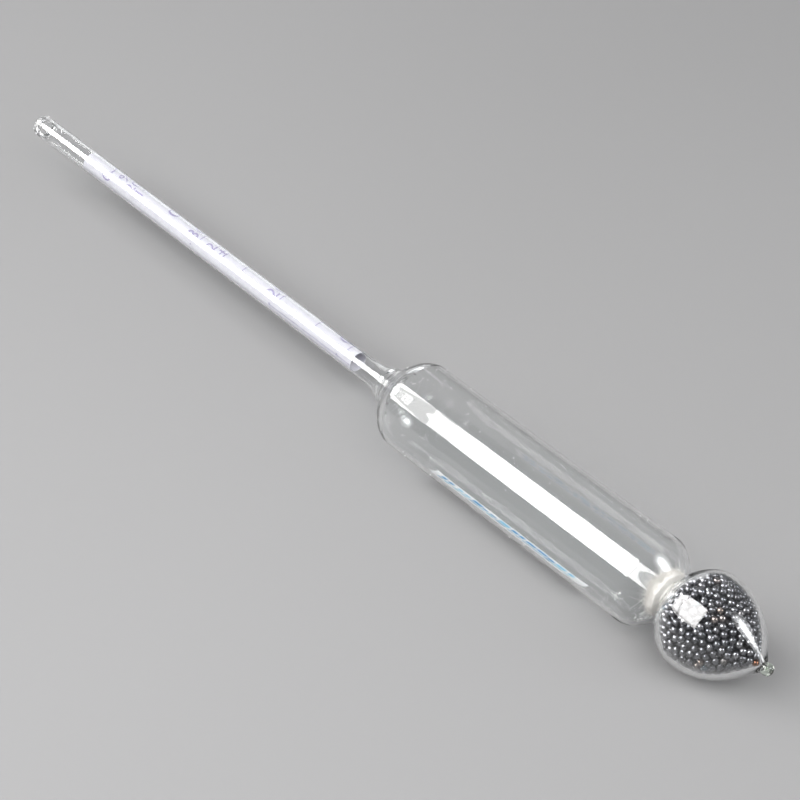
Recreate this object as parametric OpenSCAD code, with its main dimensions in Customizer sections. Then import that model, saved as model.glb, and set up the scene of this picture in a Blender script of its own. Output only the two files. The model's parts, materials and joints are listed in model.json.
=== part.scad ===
// Glass hydrometer lying on its side.
// It is made of a sealed stem with a rolled paper scale, a float body with a paper slip,
// and a ballast bulb that holds small metal shot under a cotton plug.
// The long axis is X, with the stem to -X and the bulb to +X.
// Z = 0 is the surface that the bulb rests on, and the origin is under the middle of the length.

/* [Stem] */
// Outer diameter of the stem
stem_d = 6; // [5:0.1:7]
// Wall of the stem
stem_wall = 0.3; // [0.3:0.05:0.6]
// Length of the stem up to where it flares
stem_straight = 138; // [130:0.1:170]
// Length of the sealed end piece
seal_length = 4; // [3.5:0.5:6]
// Thickness of solid glass at the middle of the sealed end
seal_floor = 1.8; // [1:0.1:2.2]
// Rounding of the sealed end's rim
seal_round = 1.3; // [0.5:0.1:1.6]

/* [Neck] */
// Length of the flare from the stem to the body's shoulder
flare_length = 11.2; // [9:0.1:14]
// Outer diameter where the flare meets the shoulder
neck_d = 12.8; // [11:0.1:14]
// Distance from the start of the flare to the weld ring
weld_offset = 6.2; // [5:0.1:7]
// Length of the neck's weld ring
weld_length = 1.8; // [1:0.1:2.5]
// How far the neck's weld ring stands out
weld_bulge = 0.3; // [0.1:0.05:0.6]

/* [Float body] */
// Outer diameter of the float body
body_d = 22.4; // [20:0.1:26]
// Length of the body's straight part
body_straight = 76.4; // [60:0.1:90]
// Wall of the float body
body_wall = 0.9; // [0.8:0.05:1.2]
// Length of the upper shoulder
shoulder_length = 6.1; // [5.5:0.1:9]
// Length of the lower dome
dome_length = 7.2; // [6:0.1:9]

/* [Waist and bulb] */
// Outer diameter of the waist between body and bulb
waist_d = 9.8; // [9:0.1:11]
// Diameter of the throat through the waist
throat_d = 7.8; // [6:0.1:8]
// Outer diameter of the ballast bulb
bulb_d = 23.5; // [20:0.1:26]
// Wall of the ballast bulb
bulb_wall = 0.9; // [0.8:0.05:1.2]
// Length of the bulb from the waist to its widest place
bulb_rise = 8.1; // [7:0.1:10]
// Length of the bulb from its widest place to the tip
bulb_taper = 18.4; // [15:0.1:20]
// Diameter of the bulb where the bead starts
tip_d = 2.6; // [2.2:0.1:2.8]
// Diameter of the sealing bead
bead_d = 3; // [2.9:0.1:4]

/* [Contents] */
// Distance from the sealed end to the paper scale
scale_start = 23.6; // [15:0.1:40]
// Length of the paper scale
scale_length = 110.2; // [90:0.1:114]
// Where the scale's outer edge runs, as an angle from the top towards -Y
scale_seam = 79; // [0:1:359]
// Thickness of the scale's paper
scale_paper_t = 0.1; // [0.06:0.02:0.14]
// Angle over which the rolled scale laps over itself
scale_lap = 36; // [20:1:60]
// Distance from the sealed end to the body's paper slip
slip_start = 168.8; // [160:0.1:180]
// Length of the body's paper slip
slip_length = 50; // [30:0.5:52]
// Width of the paper slip, as an angle round the body
slip_angle = 24; // [20:1:60]
// Where the slip lies, as an angle from the top towards -Y
slip_middle = 136; // [0:1:359]
// Thickness of the slip's paper
slip_paper_t = 0.12; // [0.08:0.02:0.2]
// Diameter of one ball of shot
shot_d = 1.65; // [1.4:0.05:2.2]

/* [Hidden] */
$fn = 64;
steps = 12;      // straight steps in each curved stretch of an outline
skin = 0.05;     // gap between paper and glass, which the glue fills
shot_gap = 0.03; // space between one ball and the next, and between a ball and the glass

// Radii
stem_r = stem_d / 2;
bore_r = stem_r - stem_wall;
neck_r = neck_d / 2;
body_r = body_d / 2;
body_bore_r = body_r - body_wall;
waist_r = waist_d / 2;
throat_r = throat_d / 2;
bulb_r = bulb_d / 2;
bulb_bore_r = bulb_r - bulb_wall;
tip_r = tip_d / 2;
bead_r = bead_d / 2;
shot_r = shot_d / 2;
slip_r = body_bore_r - skin - slip_paper_t;

// Places along the axis, measured from the outside of the sealed end
neck_at = stem_straight + flare_length;
shoulder_at = neck_at + shoulder_length;
dome_at = shoulder_at + body_straight;
waist_at = dome_at + dome_length;
widest_at = waist_at + bulb_rise;
tip_at = widest_at + bulb_taper;
bead_at = tip_at + sqrt(pow(bead_r, 2) - pow(tip_r, 2));
total_length = bead_at + bead_r;
weld_at = stem_straight + weld_offset;

// How full each curved stretch is: 1 is an ellipse and 2 is a straight line
shoulder_along = 1.22;
shoulder_across = 1.5;
dome_power = 1.46;
rise_along = 1.16;
rise_across = 1.4;
taper_along = 2.47;
taper_across = 1.15;

// The inside follows the outside, and starts and ends a wall's thickness later
flare_bore_r = neck_r - body_wall;
shoulder_inset = 0.7;
throat_half = 1;
taper_inset = 0.8;

// Half length and depth of the groove at the waist
waist_half = 0.4;
waist_groove = 0.3;

// The cotton plug: radius and height of its head, how far the head's widest place is above the waist,
// and where its foot ends in the bulb
plug_head_r = 5.5;
plug_head_h = 3.2;
plug_head_at = 1.9;
plug_foot_at = waist_at + throat_half + 0.8;

// A quarter curve from [r0, z0], where it runs across the axis, to [r1, z1], where it runs along the axis
function quarter(r0, z0, r1, z1, along, across) = [for (i = [0:steps])
    let (a = 90 * i / steps)
    [r0 + (r1 - r0) * pow(sin(a), across), z0 + (z1 - z0) * (1 - pow(cos(a), along))]];

// The trumpet from the stem to the neck, and its radius at one place
function flare(r0, r1) = [for (i = [0:steps])
    let (k = i / steps)
    [r0 + (r1 - r0) * k * k, stem_straight + flare_length * k]];
function flare_radius(r0, r1, z) = r0 + (r1 - r0) * pow((z - stem_straight) / flare_length, 2);

// The bulb's side from its widest place to the tip
function taper(r0, r1, z1) = [for (i = [0:steps])
    let (k = i / steps)
    [r1 + (r0 - r1) * pow(1 - pow(k, taper_along), taper_across), widest_at + (z1 - widest_at) * k]];

function backwards(points) = [for (i = [len(points) - 1:-1:0]) points[i]];
function after_first(points) = [for (i = [1:len(points) - 1]) points[i]];
function between(points, low, high) = [for (p = points) if (p[1] > low && p[1] < high) p];

// Outer and inner outlines of the whole glass, from the stem to the tip
outer_flare = flare(stem_r, neck_r);
inner_flare = flare(bore_r, flare_bore_r);
outer_shoulder = quarter(neck_r, neck_at, body_r, shoulder_at, shoulder_along, shoulder_across);
inner_shoulder = quarter(flare_bore_r, neck_at + shoulder_inset, body_bore_r, shoulder_at,
                         shoulder_along, shoulder_across);
outer_dome = backwards(quarter(waist_r, waist_at - waist_half, body_r, dome_at, dome_power, dome_power));
inner_dome = backwards(quarter(throat_r, waist_at - throat_half, body_bore_r, dome_at,
                               dome_power, dome_power));
outer_rise = quarter(waist_r, waist_at + waist_half, bulb_r, widest_at, rise_along, rise_across);
inner_rise = quarter(throat_r, waist_at + throat_half, bulb_bore_r, widest_at, rise_along, rise_across);
outer_taper = taper(bulb_r, tip_r, tip_at);
inner_taper = taper(bulb_bore_r, 0, tip_at - taper_inset);

// Lays a piece that was made along +Z onto the long axis
module on_axis() {
    translate([-total_length / 2, 0, bulb_r]) rotate([0, 90, 0]) children();
}

// A piece turned about the axis from an outline of [radius, place along the axis]
module turned(points) {
    on_axis() rotate_extrude() polygon(points);
}

// A patch of a thin tube: its inner radius, thickness, place, length, and angles from the top towards -Y
module patch(r, t, z, length, from, to) {
    on_axis() rotate([0, 0, 180 + from]) translate([0, 0, z])
        rotate_extrude(angle = to - from) translate([r, 0]) square([t, length]);
}

module stem_end_seal() {
    rim = [for (i = [0:steps]) let (a = 90 * i / steps)
        [stem_r - seal_round * (1 - sin(a)), seal_round * (1 - cos(a))]];
    hollow = [for (i = [0:steps]) let (a = 90 * i / steps)
        [bore_r * cos(a), seal_length - (seal_length - seal_floor) * sin(a)]];
    color("lightcyan", 0.4) turned(concat([[0, 0]], rim, [[stem_r, seal_length]], hollow));
}

module stem_tube() {
    end = weld_at;
    color("lightcyan", 0.4) turned(concat(
        [[bore_r, seal_length], [stem_r, seal_length]],
        between(outer_flare, stem_straight - 0.01, end),
        [[flare_radius(stem_r, neck_r, end), end], [flare_radius(bore_r, flare_bore_r, end), end]],
        backwards(between(inner_flare, stem_straight - 0.01, end))));
}

// A ring of fused glass that stands a little proud of the flare
module neck_weld() {
    start = weld_at;
    end = weld_at + weld_length;
    outside = [for (i = [0:steps])
        let (k = i / steps, z = start + weld_length * k)
        [flare_radius(stem_r, neck_r, z) + weld_bulge * sin(180 * k), z]];
    color("azure", 0.5) turned(concat(outside,
        [[flare_radius(bore_r, flare_bore_r, end), end],
         [flare_radius(bore_r, flare_bore_r, start), start]]));
}

module float_body() {
    start = weld_at + weld_length;
    color("lightcyan", 0.35) turned(concat(
        [[flare_radius(stem_r, neck_r, start), start]],
        between(outer_flare, start, neck_at - 0.01),
        outer_shoulder, outer_dome,
        backwards(inner_dome), backwards(inner_shoulder),
        backwards(between(inner_flare, start, neck_at - 0.01)),
        [[flare_radius(bore_r, flare_bore_r, start), start]]));
}

// The fused ring between body and bulb, with a groove round its outside
module waist_weld() {
    groove = [for (i = [0:steps])
        let (k = 2 * i / steps - 1)
        [waist_r - waist_groove * (1 - k * k), waist_at + waist_half * k]];
    color("azure", 0.5) turned(concat(groove,
        [[throat_r, waist_at + throat_half], [throat_r, waist_at - throat_half]]));
}

module ballast_bulb() {
    color("lightcyan", 0.35) turned(concat(outer_rise, outer_taper, [[0, tip_at]],
        backwards(inner_taper), backwards(inner_rise)));
}

module tip_bead() {
    meets_tip = asin(tip_r / bead_r);
    ball = [for (i = [0:2 * steps]) let (a = meets_tip + (180 - meets_tip) * i / steps / 2)
        [bead_r * sin(a), bead_at - bead_r * cos(a)]];
    color("honeydew", 0.6) turned(concat([[0, tip_at]], ball));
}

// The scale is one sheet rolled into a tube: each turn lies just inside the one before
module scale_paper() {
    roll_r = bore_r - skin;
    turn_pitch = 1.2 * scale_paper_t;
    function roll(depth) = [for (a = [0:10:360 + scale_lap])
        let (r = roll_r - depth - turn_pitch * a / 360)
        [r * cos(a), r * sin(a)]];
    color("ghostwhite") on_axis() rotate([0, 0, 180 + scale_seam]) translate([0, 0, scale_start])
        linear_extrude(height = scale_length)
            polygon(concat(roll(0), backwards(roll(scale_paper_t))));
}

// Dabs of glue between the rolled scale and the stem's wall
module scale_glue() {
    dab = 4;
    half_angle = 14;
    for (z = [scale_start + dab, scale_start + scale_length - 2 * dab])
        color("wheat") patch(bore_r - skin, skin, z, dab, 180 - half_angle, 180 + half_angle);
}

module body_label() {
    color("aliceblue") patch(slip_r, slip_paper_t, slip_start, slip_length,
        slip_middle - slip_angle / 2, slip_middle + slip_angle / 2);
}

// Dabs of glue that hold the slip at its two ends and its middle
module label_glue() {
    dab = 3;
    half_angle = slip_angle / 3;
    for (z = [slip_start + dab, slip_start + (slip_length - dab) / 2, slip_start + slip_length - 2 * dab])
        color("wheat") patch(body_bore_r - skin, skin, z, dab,
            slip_middle - half_angle, slip_middle + half_angle);
}

// The wad of cotton wool: a round head in the body, a stalk in the throat and a foot in the bulb
module cotton_plug() {
    head = [for (i = [0:steps]) let (a = 90 * i / steps)
        [plug_head_r * sin(a), waist_at - plug_head_at - plug_head_h * cos(a)]];
    stalk_r = throat_r - skin;
    color("ivory") turned(concat(head,
        [[stalk_r, waist_at - throat_half], [stalk_r, waist_at + throat_half],
         [stalk_r / 2, plug_foot_at], [0, plug_foot_at]]));
}

// An outline moved inwards by d, square to its own direction
function inset(points, d) = [for (i = [1:len(points) - 2])
    let (along = points[i + 1] - points[i - 1])
    points[i] + d * [-along[1], along[0]] / norm(along)];

// The inside of the bulb less d, as far towards the tip as it stays wider than a least radius
function bulb_inside(d, least) = [for (p = inset(concat(inner_rise, after_first(inner_taper)), d))
    if (p[0] > least) p];

// The length of a line of points, and the point at one distance along it
function length_of(points, i = 0) = i > len(points) - 2 ? 0
    : norm(points[i + 1] - points[i]) + length_of(points, i + 1);
function point_at(points, d, i = 0) = let (step = norm(points[i + 1] - points[i]))
    d <= step ? points[i] + (points[i + 1] - points[i]) * d / step : point_at(points, d - step, i + 1);

// The balls that lie against the glass, in rings round the axis
pitch = shot_d + shot_gap;
shot_line = bulb_inside(shot_r + shot_gap, pitch / 2);
shot_rings = floor(length_of(shot_line) / pitch);

module ballast_shot() {
    color("dimgray") on_axis()
        for (ring = [0:shot_rings])
            let (p = point_at(shot_line, ring * pitch), count = floor(180 / asin(pitch / 2 / p[0])))
                for (i = [1:count])
                    rotate([0, 0, 360 * (i + ring / 2) / count]) translate([p[0], 0, p[1]])
                        sphere(d = shot_d);
}

// The packed balls behind the outer layer, as one solid
module ballast_core() {
    heart = bulb_inside(2 * pitch - shot_r, 0);
    color("gray") turned(concat([[0, heart[0][1]]], heart, [[0, heart[len(heart) - 1][1]]]));
}

stem_end_seal();
stem_tube();
neck_weld();
float_body();
waist_weld();
ballast_bulb();
tip_bead();
scale_paper();
scale_glue();
body_label();
label_glue();
cotton_plug();
ballast_shot();
ballast_core();
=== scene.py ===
"""Looks for the glass hydrometer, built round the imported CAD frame.

The long axis is X, with the stem at -X. Shapes are worked out in millimetres, as a place along the axis
from the stem's sealed end and a radius from the axis. Angles round the axis run from the top towards -Y.
"""

import json
import math

import bmesh
import bpy
import numpy as np
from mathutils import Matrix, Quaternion, Vector, noise


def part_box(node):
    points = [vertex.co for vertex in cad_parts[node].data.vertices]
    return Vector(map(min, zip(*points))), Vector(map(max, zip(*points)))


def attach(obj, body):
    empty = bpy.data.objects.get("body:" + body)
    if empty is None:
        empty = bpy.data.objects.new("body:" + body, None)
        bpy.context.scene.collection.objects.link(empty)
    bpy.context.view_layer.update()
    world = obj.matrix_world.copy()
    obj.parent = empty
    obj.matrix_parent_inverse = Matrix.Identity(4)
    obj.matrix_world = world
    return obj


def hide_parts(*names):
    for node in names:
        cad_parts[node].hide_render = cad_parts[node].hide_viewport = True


MM = 0.001

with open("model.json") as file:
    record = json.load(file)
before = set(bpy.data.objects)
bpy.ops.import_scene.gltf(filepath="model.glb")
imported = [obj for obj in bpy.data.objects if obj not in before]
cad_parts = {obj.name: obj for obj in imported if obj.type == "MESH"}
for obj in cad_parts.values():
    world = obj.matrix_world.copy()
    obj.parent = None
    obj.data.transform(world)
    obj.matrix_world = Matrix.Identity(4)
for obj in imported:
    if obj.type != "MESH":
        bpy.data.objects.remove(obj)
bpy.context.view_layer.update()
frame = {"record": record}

# ---------------------------------------------------------------- sizes, from the frame
mounts = {m["name"]: m for m in frame["record"]["mounts"]}
START_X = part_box("stem_end_seal")[0].x
AXIS_Z = mounts["stem"]["pos_m"][2]


def places(node):
    """Where a CAD node starts and ends along the axis, in mm from the sealed end."""
    low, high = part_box(node)
    return (low.x - START_X) / MM, (high.x - START_X) / MM


def mount_places(name):
    middle = (mounts[name]["pos_m"][0] - START_X) / MM
    half = mounts[name]["dims"]["length_mm"] / 2
    return middle - half, middle + half


def widest(node):
    low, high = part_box(node)
    return (high.z - low.z) / 2 / MM


STEM_R = mounts["stem"]["dims"]["r_mm"]
BODY_R = mounts["float_body_side"]["dims"]["r_mm"]
BULB_R = widest("ballast_bulb")
BEAD_R = widest("tip_bead")
FLARE_AT = mount_places("stem")[1]
SHOULDER_AT, DOME_AT = mount_places("float_body_side")
SEAL_END = places("stem_end_seal")[1]
WELD_AT, WELD_END = places("neck_weld")
WAIST_AT = sum(places("waist_weld")) / 2
THROAT_HALF = (places("waist_weld")[1] - places("waist_weld")[0]) / 2
WIDEST_AT = (mounts["resting_side"]["pos_m"][0] - START_X) / MM
TIP_AT = places("ballast_bulb")[1]
END = places("tip_bead")[1]
PAPER_START, PAPER_END = places("scale_paper")
SLIP_START, SLIP_END = places("body_label")
PLUG_START, PLUG_END = places("cotton_plug")
PLUG_R = widest("cotton_plug")

# The rest repeats part.scad, in mm
BORE_R = 2.7
NECK_AT, NECK_R = FLARE_AT + 11.2, 6.4
FLARE_BORE_R = 5.5
BODY_WALL, BULB_WALL = 0.9, 0.9
WAIST_R, WAIST_HALF, WAIST_GROOVE = 4.9, 0.4, 0.3
THROAT_R = 3.9
TIP_R = 1.3
SHOULDER_INSET, TAPER_INSET = 0.7, 0.8
WELD_BULGE = 0.3
SKIN = 0.05
SEAM_ANGLE = 79
SLIP_ANGLE, SLIP_WIDTH = 136, 24
SHOT_R = 0.825
BODY_BORE_R = BODY_R - BODY_WALL
# How round each curve is, as powers along the axis and across it
SHOULDER_BEND, DOME_BEND, BULB_BEND = (1.22, 1.5), (1.46, 1.46), (1.16, 1.4)
TAPER_BEND = (2.47, 1.15)

SEGMENTS = 224
ROUND = np.arange(SEGMENTS) * 2 * math.pi / SEGMENTS


# ---------------------------------------------------------------- helpers: shapes
def to_world(along, radius, angle):
    """Points in metres from places, radii and angles (in radians) as arrays of one shape."""
    along, radius, angle = np.broadcast_arrays(along, radius, angle)
    return np.stack(
        [
            START_X + along * MM,
            -radius * np.sin(angle) * MM,
            AXIS_Z + radius * np.cos(angle) * MM,
        ],
        axis=-1,
    )


def quarter(r0, z0, r1, z1, bend):
    """A quarter curve from (z0, r0), across the axis, to (z1, r1), along it, as [place, radius] rows."""
    a = np.linspace(0, math.pi / 2, 61)
    z = z0 + (z1 - z0) * (1 - np.clip(np.cos(a), 0, 1) ** bend[0])
    return np.stack([z, r0 + (r1 - r0) * np.sin(a) ** bend[1]], axis=1)


def flare(r0, r1, z0, z1):
    """The part between two places of the trumpet that opens from radius r0 to r1."""
    z = np.linspace(z0, z1, 41)
    k = (z - FLARE_AT) / (NECK_AT - FLARE_AT)
    return np.stack([z, r0 + (r1 - r0) * np.clip(k, 0, 1) ** 2], axis=1)


def taper(r0, r1, z1):
    """The bulb's lower end, from its widest place to radius r1 at z1."""
    k = np.linspace(0, 1, 91)
    z = WIDEST_AT + (z1 - WIDEST_AT) * k
    return np.stack([z, r1 + (r0 - r1) * (1 - k ** TAPER_BEND[0]) ** TAPER_BEND[1]], axis=1)


def resample(points, step):
    """The same line with its points about one step apart, and none of them doubled."""
    points = np.asarray(points, float)
    keep = np.r_[True, np.linalg.norm(np.diff(points, axis=0), axis=1) > 1e-6]
    points = points[keep]
    run = np.r_[0, np.cumsum(np.linalg.norm(np.diff(points, axis=0), axis=1))]
    count = max(2, int(round(run[-1] / step)) + 1)
    at = np.linspace(0, run[-1], count)
    return np.stack([np.interp(at, run, points[:, i]) for i in (0, 1)], axis=1)


def eased(points, reach):
    """The same line with its corners rounded off over about this reach in mm."""
    step = 0.05
    points = resample(points, step)
    half = int(reach / step)
    weights = np.hanning(2 * half + 3)[1:-1]
    weights /= weights.sum()
    before = 2 * points[0] - points[half:0:-1]
    after = 2 * points[-1] - points[-2 : -half - 2 : -1]
    padded = np.concatenate([before, points, after])
    return np.stack([np.convolve(padded[:, i], weights, "valid") for i in (0, 1)], axis=1)


def smooth_step(x, low, high):
    k = np.clip((x - low) / (high - low), 0, 1)
    return k * k * (3 - 2 * k)


def linked_object(name, data):
    obj = bpy.data.objects.new(name, data)
    bpy.context.scene.collection.objects.link(obj)
    return obj


def mesh_object(name, verts, faces, material, normals=None):
    """A smooth-shaded mesh from arrays: faces is a list of (n, 3) and (n, 4) arrays."""
    mesh = bpy.data.meshes.new(name)
    mesh.vertices.add(len(verts))
    mesh.vertices.foreach_set("co", np.asarray(verts, np.float32).ravel())
    faces = [np.asarray(f, np.int32) for f in faces if len(f)]
    mesh.loops.add(sum(f.size for f in faces))
    mesh.polygons.add(sum(len(f) for f in faces))
    mesh.loops.foreach_set("vertex_index", np.concatenate([f.ravel() for f in faces]))
    sizes = np.concatenate([np.full(len(f), f.shape[1], np.int32) for f in faces])
    starts = np.r_[0, np.cumsum(sizes)[:-1]].astype(np.int32)
    mesh.polygons.foreach_set("loop_start", starts)
    mesh.update(calc_edges=True)
    mesh.validate()
    mesh.shade_smooth()
    if normals is not None:
        mesh.normals_split_custom_set_from_vertices([tuple(n) for n in normals])
    mesh.materials.append(material)
    return linked_object(name, mesh)


def edited_mesh(obj, *edits):
    """Runs bmesh edits on a piece's mesh."""
    bm = bmesh.new()
    bm.from_mesh(obj.data)
    for edit in edits:
        edit(bm)
    bm.to_mesh(obj.data)
    bm.free()


def merge_doubles(bm):
    bmesh.ops.remove_doubles(bm, verts=bm.verts[:], dist=1e-6)


def fix_normals(bm):
    bmesh.ops.recalc_face_normals(bm, faces=bm.faces[:])


def sharpen(obj):
    """Keeps the edges of a piece sharper than 40 degrees crisp, and the rest smooth."""
    bm = bmesh.new()
    bm.from_mesh(obj.data)
    limit = math.radians(40)
    sharp = [e.index for e in bm.edges if len(e.link_faces) == 2 and e.calc_face_angle(0) > limit]
    bm.free()
    for i in sharp:
        obj.data.edges[i].use_edge_sharp = True


def finish_piece(obj, slot, *nodes):
    """A new piece rides on the one body, and may stand for CAD nodes, which it hides. slot is not used.
    """
    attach(obj, "root")
    if nodes:
        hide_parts(*nodes)


# ---------------------------------------------------------------- helpers: materials
def new_material(name):
    mat = bpy.data.materials.new(name)
    mat.use_nodes = True
    nodes = mat.node_tree.nodes
    nodes.clear()
    return mat, nodes, mat.node_tree.links


def ramp(nodes, links, source, stops):
    node = nodes.new("ShaderNodeValToRGB")
    while len(node.color_ramp.elements) < len(stops):
        node.color_ramp.elements.new(0.5)
    for element, (position, colour) in zip(node.color_ramp.elements, stops):
        element.position = position
        element.color = (*colour, 1)
    links.new(source, node.inputs["Fac"])
    return node.outputs["Color"]


def noise_value(nodes, links, scale, detail, stretch=None):
    """Noise over the object's own coordinates, in metres."""
    place = nodes.new("ShaderNodeTexCoord").outputs["Object"]
    if stretch:
        mapping = nodes.new("ShaderNodeMapping")
        mapping.inputs["Scale"].default_value = stretch
        links.new(place, mapping.inputs["Vector"])
        place = mapping.outputs["Vector"]
    node = nodes.new("ShaderNodeTexNoise")
    node.inputs["Scale"].default_value = scale
    node.inputs["Detail"].default_value = detail
    links.new(place, node.inputs["Vector"])
    return node.outputs["Fac"]


def bump(nodes, links, height, distance, strength):
    node = nodes.new("ShaderNodeBump")
    node.inputs["Distance"].default_value = distance
    node.inputs["Strength"].default_value = strength
    links.new(height, node.inputs["Height"])
    return node.outputs["Normal"]


def principled(nodes, links, **values):
    """A Principled shader. Values go by socket name: numbers and colours are set, sockets linked."""
    shader = nodes.new("ShaderNodeBsdfPrincipled")
    for name, value in values.items():
        socket = shader.inputs[name.replace("_", " ").title().replace("Ior", "IOR")]
        if isinstance(value, bpy.types.NodeSocket):
            links.new(value, socket)
        else:
            socket.default_value = (*value, 1) if isinstance(value, tuple) else value
    return shader


def output(nodes, links, shader):
    node = nodes.new("ShaderNodeOutputMaterial")
    links.new(shader, node.inputs["Surface"])


# How much light passes a wall by how far it tilts away: (facing, share)
TILT_DIMMING = [(0.0, 1.0), (0.6, 0.97), (0.9, 0.82), (1.0, 0.45)]


def glass(name, tint, shade):
    """Clear glass. Rays from lamps and from matt surfaces pass straight through it, dimmed by shade."""
    mat, nodes, links = new_material(name)
    clear = principled(
        nodes, links, base_color=tint, roughness=0.0, ior=1.5, transmission_weight=1.0
    ).outputs[0]
    through = nodes.new("ShaderNodeBsdfTransparent")
    slope = nodes.new("ShaderNodeLayerWeight")
    stops = [(facing, tuple(c * share for c in shade)) for facing, share in TILT_DIMMING]
    links.new(ramp(nodes, links, slope.outputs["Facing"], stops), through.inputs["Color"])
    path = nodes.new("ShaderNodeLightPath")
    for ray in ("Is Diffuse Ray", "Is Shadow Ray"):
        mix = nodes.new("ShaderNodeMixShader")
        links.new(path.outputs[ray], mix.inputs[0])
        links.new(clear, mix.inputs[1])
        links.new(through.outputs[0], mix.inputs[2])
        clear = mix.outputs[0]
    output(nodes, links, clear)
    return mat


def letting_through(nodes, links, shader, colour):
    """A matt shader that also passes a fifth of the light from its other side."""
    through = nodes.new("ShaderNodeBsdfTranslucent")
    through.inputs["Color"].default_value = (*colour, 1)
    mix = nodes.new("ShaderNodeMixShader")
    mix.inputs[0].default_value = 0.2
    links.new(shader.outputs[0], mix.inputs[1])
    links.new(through.outputs[0], mix.inputs[2])
    return mix.outputs[0]


def paper(name, low, high):
    """Printing paper: a faintly cloudy colour and a fine relief of fibres along the sheet."""
    mat, nodes, links = new_material(name)
    cloud = noise_value(nodes, links, 900, 4)
    grain = noise_value(nodes, links, 4500, 2, (0.35, 1, 1))
    shader = principled(
        nodes,
        links,
        base_color=ramp(nodes, links, cloud, [(0.3, low), (0.7, high)]),
        roughness=0.75,
        specular_ior_level=0.3,
        normal=bump(nodes, links, grain, 0.00002, 0.6),
    )
    output(nodes, links, letting_through(nodes, links, shader, high))
    return mat


def ink(name, low, high):
    """Printing ink, slightly uneven where it has soaked into the paper."""
    mat, nodes, links = new_material(name)
    soak = noise_value(nodes, links, 3500, 2)
    shader = principled(
        nodes,
        links,
        base_color=ramp(nodes, links, soak, [(0.35, low), (0.7, high)]),
        roughness=0.6,
        specular_ior_level=0.3,
    )
    output(nodes, links, shader.outputs[0])
    return mat


def shot_material():
    """Dark tumbled metal. Each ball has its own tone, kept in the mesh, and faint oxide clouds."""
    mat, nodes, links = new_material("shot_metal")
    tone = nodes.new("ShaderNodeAttribute")
    tone.attribute_name = "tone"
    # Grey up to 0.8, then a few brown, blue and bare ones, and rust at the very end
    tones = [
        (0.0, (0.14, 0.142, 0.154)),
        (0.5, (0.21, 0.212, 0.228)),
        (0.8, (0.3, 0.3, 0.318)),
        (0.88, (0.24, 0.2, 0.18)),
        (0.94, (0.15, 0.2, 0.23)),
        (0.97, (0.34, 0.34, 0.34)),
        (1.0, (0.24, 0.12, 0.075)),
    ]
    colour = ramp(nodes, links, tone.outputs["Fac"], tones)
    oxide = noise_value(nodes, links, 1600, 3)
    dull = nodes.new("ShaderNodeMix")
    dull.data_type = "RGBA"
    dull.blend_type = "MULTIPLY"
    dull.inputs["Factor"].default_value = 0.55
    links.new(colour, dull.inputs["A"])
    clouds = ramp(nodes, links, oxide, [(0.3, (0.55, 0.54, 0.52)), (0.65, (1, 1, 1))])
    links.new(clouds, dull.inputs["B"])
    rough = nodes.new("ShaderNodeMapRange")
    rough.inputs["To Min"].default_value = 0.17
    rough.inputs["To Max"].default_value = 0.32
    links.new(oxide, rough.inputs["Value"])
    shader = principled(
        nodes,
        links,
        base_color=dull.outputs["Result"],
        metallic=0.85,
        roughness=rough.outputs["Result"],
        normal=bump(nodes, links, noise_value(nodes, links, 5000, 2), 0.00002, 0.5),
    )
    output(nodes, links, shader.outputs[0])
    return mat


def cotton_material(name, low, high):
    """Cotton wool: soft, matt and a little see-through, with a sheen of loose fibre."""
    mat, nodes, links = new_material(name)
    wisps = noise_value(nodes, links, 2200, 4)
    shader = principled(
        nodes,
        links,
        base_color=ramp(nodes, links, wisps, [(0.25, low), (0.7, high)]),
        roughness=0.95,
        specular_ior_level=0.15,
        sheen_weight=0.4,
        sheen_roughness=0.5,
        normal=bump(nodes, links, wisps, 0.0001, 0.7),
    )
    output(nodes, links, letting_through(nodes, links, shader, high))
    return mat


def glue_material():
    mat, nodes, links = new_material("dried_glue")
    skin = noise_value(nodes, links, 1800, 2)
    shader = principled(
        nodes,
        links,
        base_color=ramp(nodes, links, skin, [(0.3, (0.74, 0.66, 0.42)), (0.7, (0.86, 0.8, 0.6))]),
        roughness=0.25,
        normal=bump(nodes, links, skin, 0.00003, 0.5),
    )
    output(nodes, links, shader.outputs[0])
    return mat


GLASS = glass("clear_glass", (0.985, 0.99, 0.99), (0.95, 0.955, 0.955))
WELD_GLASS = glass("flamed_glass", (0.975, 0.985, 0.98), (0.92, 0.93, 0.93))
BEAD_GLASS = glass("bead_glass", (0.86, 0.94, 0.84), (0.8, 0.86, 0.8))
SCALE_PAPER = paper("scale_paper", (0.64, 0.635, 0.7), (0.72, 0.715, 0.77))
SLIP_PAPER = paper("slip_paper", (0.93, 0.96, 0.98), (0.97, 0.985, 0.99))
# The scale's ink also draws the painted shadow line along the paper's lapped edge
SCALE_INK_AND_SEAM_SHADOW = ink("scale_ink_and_seam_shadow", (0.27, 0.25, 0.4), (0.4, 0.37, 0.53))
SLIP_INK = ink("slip_ink", (0.0, 0.2, 0.48), (0.02, 0.38, 0.68))
SLIP_TINT = ink("slip_tint", (0.1, 0.5, 0.78), (0.22, 0.64, 0.86))
SHOT = shot_material()
COTTON = cotton_material("cotton_wool", (0.9, 0.86, 0.81), (0.99, 0.97, 0.94))
LINT = cotton_material("lint", (0.8, 0.8, 0.8), (0.95, 0.95, 0.95))
GLUE = glue_material()


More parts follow.
